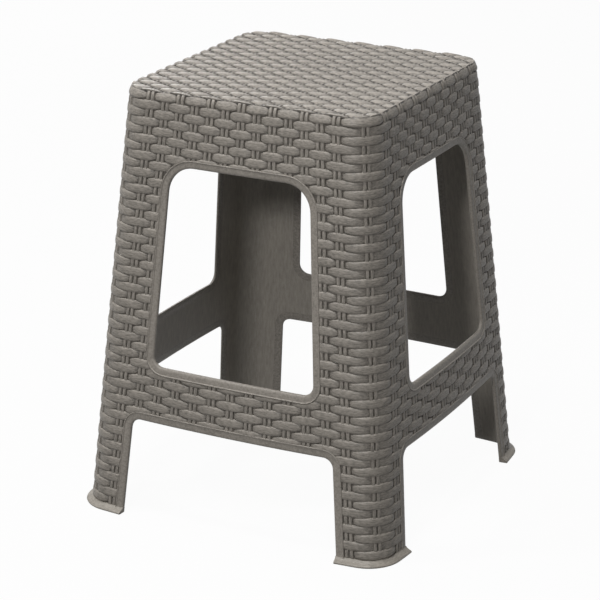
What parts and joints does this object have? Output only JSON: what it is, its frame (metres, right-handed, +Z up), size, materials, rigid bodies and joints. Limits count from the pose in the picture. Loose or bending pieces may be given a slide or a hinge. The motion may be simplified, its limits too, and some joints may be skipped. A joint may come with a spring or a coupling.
{
  "type": "stacking stool",
  "caption": "Square tapered stacking stool moulded in grey plastic with a basket-weave relief, a window and a leg opening in each face, and flared feet.",
  "frame": {"origin": "floor level under the middle of the seat", "axes": "+Z up, the front face towards -Y and the right face towards +X; all four faces are alike apart from the direction of the seat's strands, which run along X"},
  "size_m": [0.3692, 0.3692, 0.45],
  "materials": {
    "woven_plastic": "fine satin moulded texture",
    "seat_plastic": "fine satin moulded texture",
    "trim_plastic": "smooth satin",
    "lip_plastic": "smooth satin",
    "rib_plastic": "smooth matt"
  },
  "bodies": {
    "root": {"front_apron": "woven_plastic", "front_stretcher": "woven_plastic", "front_window_trim": "trim_plastic", "front_leg_opening_trim": "trim_plastic", "right_apron": "woven_plastic", "right_stretcher": "woven_plastic", "right_window_trim": "trim_plastic", "right_leg_opening_trim": "trim_plastic", "back_apron": "woven_plastic", "back_stretcher": "woven_plastic", "back_window_trim": "trim_plastic", "back_leg_opening_trim": "trim_plastic", "left_apron": "woven_plastic", "left_stretcher": "woven_plastic", "left_window_trim": "trim_plastic", "left_leg_opening_trim": "trim_plastic", "front_right_post": "woven_plastic", "front_right_foot_lip": "lip_plastic", "back_right_post": "woven_plastic", "back_right_foot_lip": "lip_plastic", "back_left_post": "woven_plastic", "back_left_foot_lip": "lip_plastic", "front_left_post": "woven_plastic", "front_left_foot_lip": "lip_plastic", "seat_panel": "seat_plastic", "seat_ribs": "rib_plastic"}
  },
  "joints": []
}
